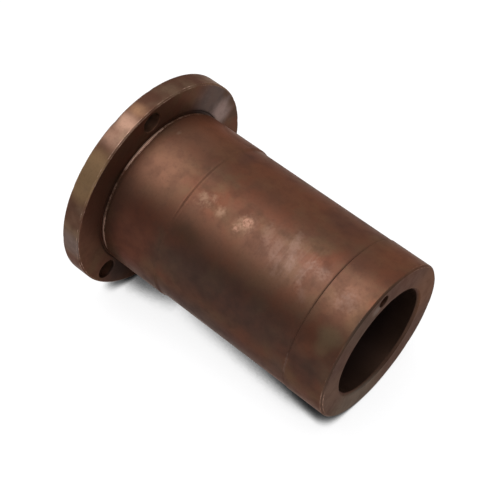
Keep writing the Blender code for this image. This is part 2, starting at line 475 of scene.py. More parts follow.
def knock_edge(mesh, station, radius, count):
    """Press a number of knocks into a turned edge.

    A point moves inwards along its normal by the sum of depth * exp(-(s / width)^2 - (d / reach)^2),
    where s is the way round the edge from a knock and d is the distance from the edge.
    """
    places, normals = mesh_arrays(mesh)
    middles = knock_source.uniform(-math.pi, math.pi, count)
    widths = knock_source.uniform(NARROWEST_KNOCK, WIDEST_KNOCK, count)
    depths = knock_source.uniform(SHALLOWEST_KNOCK, DEEPEST_KNOCK, count)
    clock = np.arctan2(-places[:, 1], places[:, 2])
    turn = (clock[:, None] - middles[None] + math.pi) % (2 * math.pi) - math.pi
    off_edge = np.hypot(places[:, 0] - station, np.hypot(places[:, 1], places[:, 2]) - radius)
    fade = np.exp(-(off_edge / KNOCK_REACH) ** 2)
    press = (depths * np.exp(-(turn * radius / widths) ** 2)).sum(axis=1) * fade
    moved = places - normals * press[:, None]
    mesh.vertices.foreach_set("co", moved.astype(np.float32).reshape(-1))
    mesh.update()


knock_edge(sleeve_mesh, nose_x - NOSE_CHAMFER / 2, nose_land_radius - NOSE_CHAMFER / 2, count=11)
knock_edge(sleeve_mesh, nose_x - BORE_CHAMFER / 2, bore_radius + BORE_CHAMFER / 2, count=6)
knock_edge(sleeve_mesh, back_x + BORE_CHAMFER / 2, bore_radius + BORE_CHAMFER / 2, count=6)
knock_edge(flange_mesh, seat_x - FLANGE_CHAMFER / 2, flange_radius - FLANGE_CHAMFER / 2, count=13)
knock_edge(flange_mesh, back_x + FLANGE_CHAMFER / 2, flange_radius - FLANGE_CHAMFER / 2, count=15)
print("knocks pressed into five edges")

# %% [markdown]
# ## Where wear and painted light sit
# Handling rubs the oxide off the sharp edges first. Corners and the depths of holes are painted
# darker as painted shade, and the collar and two sides of the nose edge get a painted highlight. A
# pointiness or bevel node could find the edges at render time, but it would depend on the mesh
# density. The edges are known circles here, so each point of the mesh keeps its own two numbers:
# how near it is to an outer edge or the collar, and how deep it lies in a corner or a hole.

# %% Measures of wear, painted highlight and painted shade
EDGE_REACH = 0.00030
CORNER_REACH = 0.00045
# Below the first depth the wall of a hole is painted in shade, which is full at the second.
HOLE_LIT_DEPTH = 0.0026
HOLE_DARK_DEPTH = 0.0052
HOLE_MARGIN = 1.02
EDGE_WEAR = 0.95
LEAST_NOSE_WEAR = 0.6
COLLAR_HIGHLIGHT = 0.9
# Corners get painted shade: a little all round, and more on one side.
LEAST_CORNER_SHADE = 0.1
Side = namedtuple("Side", "clock spread extra")
# The nose edge is worn all round, and it and the collar get painted highlights on these sides.
NOSE_EDGE_HIGHLIGHTS = [Side(95.0, 35.0, 0.4), Side(-35.0, 20.0, 0.4)]
COLLAR_HIGHLIGHT_SIDES = [Side(21.0, 16.0, 1.2), Side(95.0, 24.0, 0.8)]
# More painted shade in the corners on this side.
CORNER_SHADE_SIDES = [Side(20.0, 26.0, 0.6)]


def ring_nearness(places, rings, reach):
    """1 on the nearest of the turned edges (station, radius), fading as exp(-(distance / reach)^2)."""
    rings = np.array(rings)
    radius = np.hypot(places[:, 1], places[:, 2])
    gaps = np.hypot(places[:, 0, None] - rings[None, :, 0], radius[:, None] - rings[None, :, 1])
    return np.exp(-(gaps.min(axis=1) / reach) ** 2)


def share_round(places, least, sides):
    """least, plus extra * exp(-((angle - clock) / spread)^2) for each side, with angles in degrees."""
    angle = np.degrees(np.arctan2(-places[:, 1], places[:, 2]))
    return least + sum(side.extra * np.exp(-((angle - side.clock) / side.spread) ** 2) for side in sides)


def hole_depth_share(places, center, radius, depth, deepest):
    """Share of painted shade that rises evenly from 0 at a hole's lit depth to 1 at its dark depth.

    It is 0 outside the hole, which is a little more than radius wide and ends before deepest.
    """
    across = np.hypot(places[:, 1] - center[0], places[:, 2] - center[1])
    share = (depth - HOLE_LIT_DEPTH) / (HOLE_DARK_DEPTH - HOLE_LIT_DEPTH)
    inside = (across < radius * HOLE_MARGIN) & (depth < deepest)
    return np.where(inside, np.clip(share, 0.0, 1.0), 0.0)


def keep_on_points(mesh, name, values):
    """Store one number for each point of a mesh, for its material to read."""
    attribute = mesh.attributes.new(name, "FLOAT", "POINT")
    attribute.data.foreach_set("value", values.astype(np.float32))


print(f"edges wear within {EDGE_REACH * 1000:.2f} mm")

# %% Wear, painted highlights and painted shade of the sleeve
sleeve_edges = [
    (nose_x, nose_land_radius - NOSE_CHAMFER),
    (nose_x - NOSE_CHAMFER, nose_land_radius),
    (nose_x, bore_radius + BORE_CHAMFER),
    (back_x, bore_radius + BORE_CHAMFER),
]
sleeve_corners = [(runout_x, runout_radius), (flange_land_x, undercut_radius)]
collar_middle = [((collar_x + undercut_x) / 2, collar_radius)]
places, _ = mesh_arrays(sleeve_mesh)
edge = ring_nearness(places, sleeve_edges, EDGE_REACH)
# Worn edges, with a painted highlight on two sides.
edge = EDGE_WEAR * share_round(places, LEAST_NOSE_WEAR, NOSE_EDGE_HIGHLIGHTS) * edge
# The collar's bright line is a painted highlight, brightest on two sides.
collar = ring_nearness(places, collar_middle, COLLAR_WIDTH)
collar = COLLAR_HIGHLIGHT * share_round(places, 1.0, COLLAR_HIGHLIGHT_SIDES) * collar
# Corners get painted shade.
corner = ring_nearness(places, sleeve_corners, CORNER_REACH)
corner = share_round(places, LEAST_CORNER_SHADE, CORNER_SHADE_SIDES) * corner
# The blind hole's wall is painted in shade below its lit depth.
nose_hole_center = on_circle(nose_hole_circle_radius, HOLE_CLOCKING)
nose_depth = nose_x - places[:, 0]
deep = hole_depth_share(places, nose_hole_center, NOSE_HOLE_RADIUS, nose_depth, 2 * NOSE_HOLE_DEPTH)
# The edge numbers hold wear and painted highlights, and the others hold painted shade.
keep_on_points(sleeve_mesh, "edge", np.maximum(edge, collar))
keep_on_points(sleeve_mesh, "dirt", np.maximum(corner, deep))
print("wear and dirt kept on the sleeve")

# %% Wear and painted shade of the flange
flange_edges = [
    (seat_x, flange_radius - FLANGE_CHAMFER),
    (seat_x - FLANGE_CHAMFER, flange_radius),
    (back_x + FLANGE_CHAMFER, flange_radius),
    (back_x, flange_radius - FLANGE_CHAMFER),
]
flange_corners = [
    (relief_face_x, seat_inner_radius),
    (relief_face_x, ring_bore_radius),
    (back_x, ring_bore_radius),
]
places, _ = mesh_arrays(flange_mesh)
# Corners of the seat and the depths of the bolt holes get painted shade.
dirt = ring_nearness(places, flange_corners, CORNER_REACH)
depth = np.minimum(seat_x - places[:, 0], places[:, 0] - back_x)
for column in bolt_columns:
    center = on_circle(bolt_circle_radius, column_angles[column])
    deep = hole_depth_share(places, center, BOLT_HOLE_RADIUS, depth, seat_x - back_x)
    dirt = np.maximum(dirt, deep)
keep_on_points(flange_mesh, "edge", EDGE_WEAR * ring_nearness(places, flange_edges, EDGE_REACH))
keep_on_points(flange_mesh, "dirt", dirt)
print("wear and dirt kept on the flange")

# %% [markdown]
# ## Nodes in few words
# A material is a graph of nodes. These helpers lay a node, wire it and hand back its output, so
# that the finishes below read like a recipe.

# %% Helpers for nodes and numbers


def wire(tree, socket, value):
    """Feed a socket from another node's output, or set it to a plain value."""
    if isinstance(value, bpy.types.NodeSocket):
        tree.links.new(value, socket)
    else:
        socket.default_value = value


def lay(tree, kind, inputs=None, **settings):
    """New node of a kind, with its settings, and its inputs by name or number."""
    node = tree.nodes.new(kind)
    for name, value in settings.items():
        setattr(node, name, value)
    for name, value in (inputs or {}).items():
        wire(tree, node.inputs[name], value)
    return node


def calc(tree, operation, *values, **settings):
    """Output of a Math node."""
    inputs = dict(enumerate(values))
    return lay(tree, "ShaderNodeMath", inputs, operation=operation, **settings).outputs[0]


def times(tree, first, second):
    """Product of two numbers."""
    return calc(tree, "MULTIPLY", first, second)


def add_up(tree, start, parts):
    """Start plus each value times its share."""
    for value, share in parts:
        start = calc(tree, "MULTIPLY_ADD", value, share, start)
    return start


def vector_calc(tree, operation, *values):
    """Outputs of a Vector Math node."""
    return lay(tree, "ShaderNodeVectorMath", dict(enumerate(values)), operation=operation).outputs


print("helpers for nodes and numbers ready")

# %% Helpers for colours and groups
NOISE_ROUGHNESS = 0.55


def step(tree, value, low, high, to_low=0.0, to_high=1.0):
    """Smooth step from to_low to to_high while a value goes from low to high."""
    inputs = {"Value": value, "From Min": low, "From Max": high, "To Min": to_low, "To Max": to_high}
    return lay(tree, "ShaderNodeMapRange", inputs, interpolation_type="SMOOTHSTEP").outputs["Result"]


def noise(tree, place, scale, detail=2.0, distortion=0.0):
    """Noise from 0 to 1 with so many cells to the metre."""
    inputs = {"Vector": place, "Scale": scale, "Detail": detail}
    inputs.update({"Distortion": distortion, "Roughness": NOISE_ROUGHNESS})
    return lay(tree, "ShaderNodeTexNoise", inputs).outputs[0]


def kept(tree, name):
    """Outputs of the node that reads what the points of a mesh keep under a name."""
    return lay(tree, "ShaderNodeAttribute", attribute_name=name).outputs


def paint(tree, share, color, under):
    """Colour laid over another one by a share from 0 to 1."""
    return lay(tree, "ShaderNodeMix", {0: share, 6: under, 7: color}, data_type="RGBA").outputs[2]


def new_group(name, vectors, numbers, results):
    """Empty shader node group with named sockets, its entry's outputs and its exit's inputs."""
    group = bpy.data.node_groups.new(name, "ShaderNodeTree")
    sockets = [(socket, "INPUT", "NodeSocketVector") for socket in vectors]
    sockets += [(socket, "INPUT", "NodeSocketFloat") for socket in numbers]
    sockets += [(socket, "OUTPUT", "NodeSocketFloat") for socket in results]
    for socket, way, kind in sockets:
        group.interface.new_socket(socket, in_out=way, socket_type=kind)
    return group, group.nodes.new("NodeGroupInput").outputs, group.nodes.new("NodeGroupOutput").inputs


def use_group(tree, group, inputs):
    """Outputs of a group that is placed in a material with its own values."""
    return lay(tree, "ShaderNodeGroup", inputs, node_tree=group).outputs


print("helpers for colours and groups ready")

# %% [markdown]
# ## Oxide clouds
# Bronze that lies about for years goes brown, but not evenly: redder, more olive and darker clouds
# from 5 to 20 mm wide run into each other, with a fine grain over them. A painted picture could
# show them, but it would need a UV map, and noise needs only a point's place. Three noises of
# falling size give the clouds, and a finer one gives the grain. The dark clouds also make the
# strength of broad stains uneven, and with the grain they make the borders of placed marks ragged.

# %% Group: oxide clouds
CLOUD_SHIFT = (0.31, 0.17, 0.53)
OLIVE_FINENESS = 1.5
DARK_FINENESS = 3.1
GRAIN_FINENESS = 16.0
BROAD_SPAN = (0.36, 0.64)
OLIVE_SPAN = (0.42, 0.68)
DARK_SPAN = (0.40, 0.70)
MIDDLE_OF_NOISE = 0.5
CRUMB_SHARE = 0.8
oxide_clouds, entry, way_out = new_group(
    "oxide_clouds", ["Place"], ["Size"], ["Broad", "Olive", "Dark", "Grain", "Ragged", "Crumbled"]
)
cells = calc(oxide_clouds, "DIVIDE", 1.0, entry["Size"])
broad = noise(oxide_clouds, entry["Place"], cells)
shifted = vector_calc(oxide_clouds, "ADD", entry["Place"], CLOUD_SHIFT)[0]
olive = noise(oxide_clouds, shifted, times(oxide_clouds, cells, OLIVE_FINENESS), detail=3.0)
dark = noise(oxide_clouds, shifted, times(oxide_clouds, cells, DARK_FINENESS), detail=3.0)
grain = noise(oxide_clouds, entry["Place"], times(oxide_clouds, cells, GRAIN_FINENESS), detail=4.0)
ragged = calc(oxide_clouds, "SUBTRACT", dark, MIDDLE_OF_NOISE)
crumbs = calc(oxide_clouds, "SUBTRACT", grain, MIDDLE_OF_NOISE)
wire(oxide_clouds, way_out["Broad"], step(oxide_clouds, broad, *BROAD_SPAN))
wire(oxide_clouds, way_out["Olive"], step(oxide_clouds, olive, *OLIVE_SPAN))
wire(oxide_clouds, way_out["Dark"], step(oxide_clouds, dark, *DARK_SPAN))
wire(oxide_clouds, way_out["Grain"], grain)
wire(oxide_clouds, way_out["Ragged"], ragged)
wire(oxide_clouds, way_out["Crumbled"], add_up(oxide_clouds, ragged, [(crumbs, CRUMB_SHARE)]))
print("group:", oxide_clouds.name)

# %% [markdown]
# ## Tool marks
# A lathe tool leaves rings: round the outside where it ran along X, and circles on the flat faces
# where it ran inwards. Station and radius are the two ways a tool moves, so one noise that changes
# fast with both, and slowly round the axis, gives the right marks on every turned surface.

# %% Group: tool marks
ROUND_SHARE = 0.02
RADIUS_SHARE = 1.3
tool_marks, entry, way_out = new_group("tool_marks", ["Place"], ["Pitch"], ["Marks", "Radius"])
flat_place = vector_calc(tool_marks, "MULTIPLY", entry["Place"], (0.0, 1.0, 1.0))[0]
radius = vector_calc(tool_marks, "LENGTH", flat_place)["Value"]
station, across, up = lay(tool_marks, "ShaderNodeSeparateXYZ", {0: entry["Place"]}).outputs
tool_way = add_up(tool_marks, station, [(radius, RADIUS_SHARE)])
slow_across = times(tool_marks, across, ROUND_SHARE)
slow_up = times(tool_marks, up, ROUND_SHARE)
tool_place = lay(tool_marks, "ShaderNodeCombineXYZ", {0: tool_way, 1: slow_across, 2: slow_up}).outputs[0]
marks_per_metre = calc(tool_marks, "DIVIDE", 1.0, entry["Pitch"])
wire(tool_marks, way_out["Marks"], noise(tool_marks, tool_place, marks_per_metre, detail=3.0))
wire(tool_marks, way_out["Radius"], radius)
print("group:", tool_marks.name)

# %% [markdown]
# ## Placed marks
# Some marks can be pointed at: a rubbed patch, a stain with a tide line, a burnished spot. Each is
# an ellipsoid of space round a point of the surface, whose border is pushed in and out by the
# ragged noise. It needs no UV map, and it stays where it is on the metal.

# %% Group: placed mark
TIDE_PLACE = 0.85
TIDE_WIDTH = 0.16
placed_mark, entry, way_out = new_group(
    "placed_mark", ["Place", "Center", "Reach"], ["Ragged", "Softness"], ["Mask", "Tide"]
)
away = vector_calc(placed_mark, "SUBTRACT", entry["Place"], entry["Center"])[0]
share = vector_calc(placed_mark, "DIVIDE", away, entry["Reach"])[0]
distance = vector_calc(placed_mark, "LENGTH", share)["Value"]
border = calc(placed_mark, "ADD", distance, entry["Ragged"])
inside = calc(placed_mark, "SUBTRACT", 1.0, entry["Softness"])
wire(placed_mark, way_out["Mask"], step(placed_mark, border, inside, 1.0, 1.0, 0.0))
off_tide = calc(placed_mark, "ABSOLUTE", calc(placed_mark, "SUBTRACT", border, TIDE_PLACE))
wire(placed_mark, way_out["Tide"], step(placed_mark, off_tide, 0.0, TIDE_WIDTH, 1.0, 0.0))
print("group:", placed_mark.name)

# %% [markdown]
# ## Strokes
# A knock that slides leaves a pale stroke, and a drop that dries leaves a curved line. Each is laid
# as a chain of short straight strokes: the share of the way along that lies nearest to a point
# gives its distance from the stroke.

# %% Group: stroke
STROKE_RAGGEDNESS = 2.0
STROKE_END = 1.1
stroke, entry, way_out = new_group("stroke", ["Place", "Start", "End"], ["Ragged", "Half Width"], ["Mask"])
along = vector_calc(stroke, "SUBTRACT", entry["End"], entry["Start"])[0]
away = vector_calc(stroke, "SUBTRACT", entry["Place"], entry["Start"])[0]
reached = vector_calc(stroke, "DOT_PRODUCT", away, along)["Value"]
whole = vector_calc(stroke, "DOT_PRODUCT", along, along)["Value"]
share = calc(stroke, "DIVIDE", reached, whole, use_clamp=True)
nearest = lay(stroke, "ShaderNodeVectorMath", {0: along, "Scale": share}, operation="SCALE").outputs[0]
gap = vector_calc(stroke, "DISTANCE", away, nearest)["Value"]
widths_away = calc(stroke, "DIVIDE", gap, entry["Half Width"])
border = add_up(stroke, widths_away, [(entry["Ragged"], STROKE_RAGGEDNESS)])
wire(stroke, way_out["Mask"], step(stroke, border, 0.0, STROKE_END, 1.0, 0.0))
print("group:", stroke.name)

# %% [markdown]
# ## Bronze
# Both pieces are the same bronze, but the flange has kept a more olive skin and its rim is rubbed
# paler. The base is a brown oxide film over metal, so it is mostly metallic with little extra
# gloss. Clouds come first, then broad stains with painted shade, highlight and reflection, then
# blotches and grain, then rubbed marks, then worn edges with painted highlights, and painted shade
# in corners and holes last of all. A broad stain is soft enough for the mesh, so its colour is
# kept on the points, and only the marks with ragged borders are made of nodes.

# %% Start a bronze
FILM_GLOSS = 0.2
FILM_EDGE_TINT = (0.50, 0.37, 0.31, 1.0)
OLIVE_SHARE = 0.75
BLOTCH_SHARE = 0.30
GRAIN_SPAN = (0.48, 0.80)
GRAIN_SHARE = 0.22
Bench = namedtuple("Bench", "material tree shader place clouds marks edge dirt")


def start_bronze(name, cloud_size, pitch):
    """New material with the shader's constants set and the shared effects placed."""
    material = bpy.data.materials.new(name)
    material.use_nodes = True
    tree = material.node_tree
    shader = tree.nodes["Principled BSDF"]
    shader.inputs["Specular IOR Level"].default_value = FILM_GLOSS
    shader.inputs["Specular Tint"].default_value = FILM_EDGE_TINT
    place = lay(tree, "ShaderNodeTexCoord").outputs["Object"]
    clouds = use_group(tree, oxide_clouds, {"Place": place, "Size": cloud_size})
    marks = use_group(tree, tool_marks, {"Place": place, "Pitch": pitch})
    edge = kept(tree, "edge")["Fac"]
    dirt = kept(tree, "dirt")["Fac"]
    return Bench(material, tree, shader, place, clouds, marks, edge, dirt)


def clouded(bench, brown, red, olive):
    """Brown metal with red and olive clouds."""
    tree = bench.tree
    color = paint(tree, bench.clouds["Broad"], red, brown)
    return paint(tree, times(tree, bench.clouds["Olive"], OLIVE_SHARE), olive, color)


def mottled(bench, color, dark):
    """Colour with dark blotches and a dark grain laid over it."""
    tree = bench.tree
    color = paint(tree, times(tree, bench.clouds["Dark"], BLOTCH_SHARE), dark, color)
    return paint(tree, step(tree, bench.clouds["Grain"], *GRAIN_SPAN, 0.0, GRAIN_SHARE), dark, color)


print("film gloss:", FILM_GLOSS)

# %% Marks on a bronze
Mark = namedtuple("Mark", "station clock radius half_length half_width softness color strength")
Stroke = namedtuple("Stroke", "points half_width color strength")


def surface_point(station, clock, radius):
    """Place of a point that is given by station, clock angle in degrees and radius."""
    return (back_x + station, *on_circle(radius, math.radians(clock)))


def mark_masks(bench, mark):
    """Mask and tide line of a mark that is placed by station, clock angle and radius."""
    inputs = {
        "Place": bench.place,
        "Center": surface_point(mark.station, mark.clock, mark.radius),
        "Reach": (mark.half_length, mark.half_width, mark.half_width),
        "Ragged": bench.clouds["Crumbled"],
        "Softness": mark.softness,
    }
    return use_group(bench.tree, placed_mark, inputs)


def add_marks(bench, color, marks):
    """Colour with each mark laid over it, and the greatest of the marks' masks."""
    tree = bench.tree
    rubbed = 0.0
    for mark in marks:
        mask = times(tree, mark_masks(bench, mark)["Mask"], mark.strength)
        color = paint(tree, mask, mark.color, color)
        rubbed = calc(tree, "MAXIMUM", mask, rubbed)
    return color, rubbed


def add_strokes(bench, color, strokes):
    """Colour with each chain of strokes laid over it, and the greatest of their masks."""
    tree = bench.tree
    rubbed = 0.0
    for chain in strokes:
        places = [surface_point(station, clock, relief_radius) for station, clock in chain.points]
        mask = 0.0
        for start, end in zip(places, places[1:]):
            inputs = {
                "Place": bench.place,
                "Start": start,
                "End": end,
                "Ragged": bench.clouds["Crumbled"],
                "Half Width": chain.half_width,
            }
            mask = calc(tree, "MAXIMUM", use_group(tree, stroke, inputs)["Mask"], mask)
        mask = times(tree, mask, chain.strength)
        color = paint(tree, mask, chain.color, color)
        rubbed = calc(tree, "MAXIMUM", mask, rubbed)
    return color, rubbed


print("a mark has", len(Mark._fields), "values and a stroke has", len(Stroke._fields))

# %% Broad stains and painted light on a bronze
LEAST_COVER = 1e-6


# Zones hold stains, and also painted shade, highlight and reflection.
def keep_zones(mesh, name, zones):
    """Store on each point the colour of the zones there, and how much of the metal they cover.

    A zone's share goes smoothly from its strength in its middle to 0 at its border, where the
    distance counted in its own half sizes is 1. Later zones lie over earlier ones.
    """
    places, _ = mesh_arrays(mesh)
    cover = np.zeros((len(places), 4))
    for zone in zones:
        half_sizes = np.array([zone.half_length, zone.half_width, zone.half_width])
        away = (places - surface_point(zone.station, zone.clock, zone.radius)) / half_sizes
        rise = np.clip((1 - np.linalg.norm(away, axis=1)) / zone.softness, 0.0, 1.0)[:, None]
        share = zone.strength * rise ** 2 * (3 - 2 * rise)
        cover = cover * (1 - share) + np.array(zone.color) * share
    cover[:, :3] /= np.maximum(cover[:, 3:], LEAST_COVER)
    attribute = mesh.attributes.new(name, "FLOAT_COLOR", "POINT")
    attribute.data.foreach_set("color", cover.astype(np.float32).reshape(-1))


def add_zones(bench, color, name):
    """Colour with the zones kept on the points laid over it, thinner and thicker in clouds."""
    tree = bench.tree
    zone = kept(tree, name)
    uneven = calc(tree, "ADD", 1.0, bench.clouds["Ragged"])
    return paint(tree, times(tree, zone["Alpha"], uneven), zone["Color"], color)


print("broad stains are kept on the points")

# %% Finish a bronze
# Colour of worn metal on the edges, and of the painted highlights.
BARE_AND_HIGHLIGHT_BRONZE = (0.528, 0.335, 0.256, 1.0)
# Near-black colour of the painted shade in corners and holes.
PAINTED_SHADE_COLOR = (0.012, 0.008, 0.006, 1.0)
WEAR_RAGGEDNESS = 1.2
BARE_AND_HIGHLIGHT_SPAN = (0.75, 1.25)
BARE_AND_HIGHLIGHT_SHARE = 0.8
FILM_METAL = 0.70
BARE_METAL = 0.9
PAINTED_SHADE_SHARE = 0.8
FILM_ROUGHNESS = 0.37
BLOTCH_ROUGHNESS = 0.08
GRAIN_ROUGHNESS = 0.08
RUBBED_ROUGHNESS = -0.05
RECESS_ROUGHNESS = 0.2
TOOL_MARK_HEIGHT = 0.010
GRAIN_HEIGHT = 0.012
MILLIMETRE = 0.001


def finish_bronze(bench, color, rubbed):
    """Worn edges with painted highlights, painted shade, roughness and bump, wired to the shader.

    Heights of the bump are in millimetres.
    """
    tree = bench.tree
    clouds = bench.clouds
    bare_and_highlight = step(tree, add_up(tree, bench.edge, [(clouds["Crumbled"], WEAR_RAGGEDNESS)]), *BARE_AND_HIGHLIGHT_SPAN)
    # Worn edges and painted highlights take the worn metal colour.
    color = paint(tree, times(tree, bare_and_highlight, BARE_AND_HIGHLIGHT_SHARE), BARE_AND_HIGHLIGHT_BRONZE, color)
    # Painted shade darkens the corners and the depths of holes.
    color = paint(tree, times(tree, bench.dirt, PAINTED_SHADE_SHARE), PAINTED_SHADE_COLOR, color)
    wire(tree, bench.shader.inputs["Base Color"], color)
    wire(tree, bench.shader.inputs["Metallic"], step(tree, bare_and_highlight, 0.0, 1.0, FILM_METAL, BARE_METAL))

    rough_parts = [
        (clouds["Dark"], BLOTCH_ROUGHNESS),
        (clouds["Grain"], GRAIN_ROUGHNESS),
        (rubbed, RUBBED_ROUGHNESS),
        (bench.dirt, RECESS_ROUGHNESS),
    ]
    wire(tree, bench.shader.inputs["Roughness"], add_up(tree, FILM_ROUGHNESS, rough_parts))

    height_parts = [(bench.marks["Marks"], TOOL_MARK_HEIGHT), (clouds["Grain"], GRAIN_HEIGHT)]
    height = add_up(tree, 0.0, height_parts)
    bump = lay(tree, "ShaderNodeBump", {"Distance": MILLIMETRE, "Height": height})
    wire(tree, bench.shader.inputs["Normal"], bump.outputs["Normal"])


print("film roughness:", FILM_ROUGHNESS)

# %% [markdown]
# ## The sleeve's finish
# The sleeve is redder towards the flange and greyer towards the middle, with an olive patch on the
# nose land. A row of rubbed spots runs along the upper side, one of them with a dried ring in it,
# and beyond them lies a field of fine scuffs along the lathe marks. Broad zones also paint light: a
# tan highlight along the top, shade on the lower side and a reflection of the floor along its lower
# edge. The bore is painted darker, and darker still away from the nose mouth, as painted shade.

# %% Colours of the sleeve
SLEEVE_BROWN = (0.098, 0.046, 0.030, 1.0)
SLEEVE_RED = (0.116, 0.044, 0.026, 1.0)
SLEEVE_OLIVE = (0.104, 0.060, 0.035, 1.0)
SLEEVE_DARK = (0.050, 0.026, 0.019, 1.0)
# Dark brown, under grey: painted shade below; tans: painted highlight; slate: painted floor reflection.
UNDERSIDE_SHADE_BROWN = (0.040, 0.024, 0.020, 1.0)
WARM_RED = (0.094, 0.031, 0.019, 1.0)
HIGHLIGHT_TAN = (0.149, 0.072, 0.046, 1.0)
LAND_HIGHLIGHT_TAN = (0.166, 0.079, 0.050, 1.0)
WARM_BROWN = (0.152, 0.056, 0.030, 1.0)
COOL_PURPLE = (0.072, 0.036, 0.028, 1.0)
DARK_OLIVE = (0.059, 0.034, 0.022, 1.0)
PALE_OLIVE = (0.136, 0.092, 0.053, 1.0)
UNDERSIDE_SHADE_GREY = (0.026, 0.025, 0.025, 1.0)
FLOOR_REFLECTION_SLATE = (0.071, 0.050, 0.042, 1.0)
RUBBED_TAN = (0.172, 0.100, 0.067, 1.0)
RUBBED_PINK = (0.244, 0.130, 0.092, 1.0)
RUBBED_GREY = (0.155, 0.094, 0.073, 1.0)
# The bore colours are painted shade, the deeper one darker.
BORE_BROWN = (0.059, 0.032, 0.022, 1.0)
BORE_DEEP_SHADE = (0.048, 0.028, 0.024, 1.0)
NOSE_BROWN = (0.066, 0.038, 0.026, 1.0)
NOSE_WARM = (0.130, 0.061, 0.033, 1.0)
NOSE_GREY = (0.065, 0.047, 0.036, 1.0)
NOSE_PINK = (0.109, 0.067, 0.051, 1.0)
NOSE_PALE = (0.113, 0.094, 0.076, 1.0)
NOSE_LILAC = (0.157, 0.124, 0.112, 1.0)
print("sleeve brown", SLEEVE_BROWN)

# %% Stains of the sleeve, with painted shade, highlight and reflection
NOSE_DEPTH = 0.002
LILAC_INSET = 0.001
body = relief_radius
nose_station = nose_x - back_x
nose_middle = nose_hole_circle_radius
sleeve_zones = [
    # Painted shade along the lower side.
    Mark(0.080, 72.0, body, 0.095, 0.021, 0.9, UNDERSIDE_SHADE_BROWN, 0.80),
    # Painted highlight in tan, widening the lit band downwards.
    Mark(0.075, 42.0, body, 0.085, 0.012, 0.9, HIGHLIGHT_TAN, 0.60),
    Mark(0.075, -16.0, body, 0.085, 0.017, 0.9, WARM_BROWN, 0.60),
    Mark(0.024, -25.0, body, 0.024, 0.026, 0.8, WARM_BROWN, 0.80),
    Mark(0.132, -22.0, body, 0.013, 0.024, 0.8, WARM_BROWN, 0.70),
    # Painted shade, dark grey, along the lower side.
    Mark(0.070, 108.0, body, 0.080, 0.014, 0.9, UNDERSIDE_SHADE_GREY, 0.75),
    # Painted shade on the lower side near the nose.
    Mark(0.131, 80.0, body, 0.012, 0.016, 0.8, UNDERSIDE_SHADE_BROWN, 0.55),
    # Painted highlight in tan on the flange land.
    Mark(0.027, -4.0, body, 0.018, 0.016, 0.9, HIGHLIGHT_TAN, 0.60),
    Mark(0.026, 26.0, body, 0.020, 0.022, 0.8, LAND_HIGHLIGHT_TAN, 0.80),
    Mark(0.028, 75.0, body, 0.017, 0.024, 0.6, WARM_RED, 0.80),
    Mark(0.053, 51.0, body, 0.012, 0.007, 0.8, DARK_OLIVE, 0.60),
    Mark(0.104, -20.0, body, 0.013, 0.010, 0.8, COOL_PURPLE, 0.60),
    Mark(0.049, -20.0, body, 0.006, 0.010, 0.8, COOL_PURPLE, 0.60),
    # Painted reflection of the floor, slate grey, along the lower edge.
    Mark(0.1160, 97.0, body, 0.008, 0.011, 0.9, FLOOR_REFLECTION_SLATE, 0.70),
    Mark(0.074, 100.0, body, 0.018, 0.010, 0.9, FLOOR_REFLECTION_SLATE, 0.50),
    # Painted highlight in tan and pale grey along the top.
    Mark(0.130, 22.0, body, 0.012, 0.016, 0.8, HIGHLIGHT_TAN, 0.75),
    Mark(0.092, 24.0, body, 0.036, 0.009, 0.9, HIGHLIGHT_TAN, 0.25),
    Mark(0.101, 26.0, body, 0.022, 0.012, 0.9, RUBBED_GREY, 0.28),
    Mark(0.1335, 50.0, body, 0.0090, 0.0065, 0.8, PALE_OLIVE, 0.75),
    Mark(0.1325, 58.5, body, 0.0055, 0.0065, 0.8, PALE_OLIVE, 0.60),
    Mark(0.1270, 66.0, body, 0.0080, 0.0060, 0.9, WARM_BROWN, 0.35),
    Mark(0.085, -120.0, body, 0.016, 0.016, 0.6, PALE_OLIVE, 0.35),
    Mark(0.040, 160.0, body, 0.020, 0.014, 0.7, WARM_RED, 0.55),
]
nose_zones = [
    Mark(nose_station, -70.0, nose_middle, NOSE_DEPTH, 0.0260, 0.8, NOSE_WARM, 0.90),
    Mark(nose_station, 35.0, nose_middle, NOSE_DEPTH, 0.0150, 0.7, NOSE_GREY, 0.70),
    Mark(nose_station, 98.0, nose_middle, NOSE_DEPTH, 0.0180, 0.8, NOSE_PINK, 0.90),
    Mark(nose_station, 160.0, nose_middle, NOSE_DEPTH, 0.0280, 0.8, NOSE_PALE, 0.95),
    Mark(nose_station, 18.5, nose_middle - LILAC_INSET, NOSE_DEPTH, 0.0036, 0.5, NOSE_LILAC, 0.85),
]
print(len(sleeve_zones), "stains on the outside and", len(nose_zones), "on the nose face")

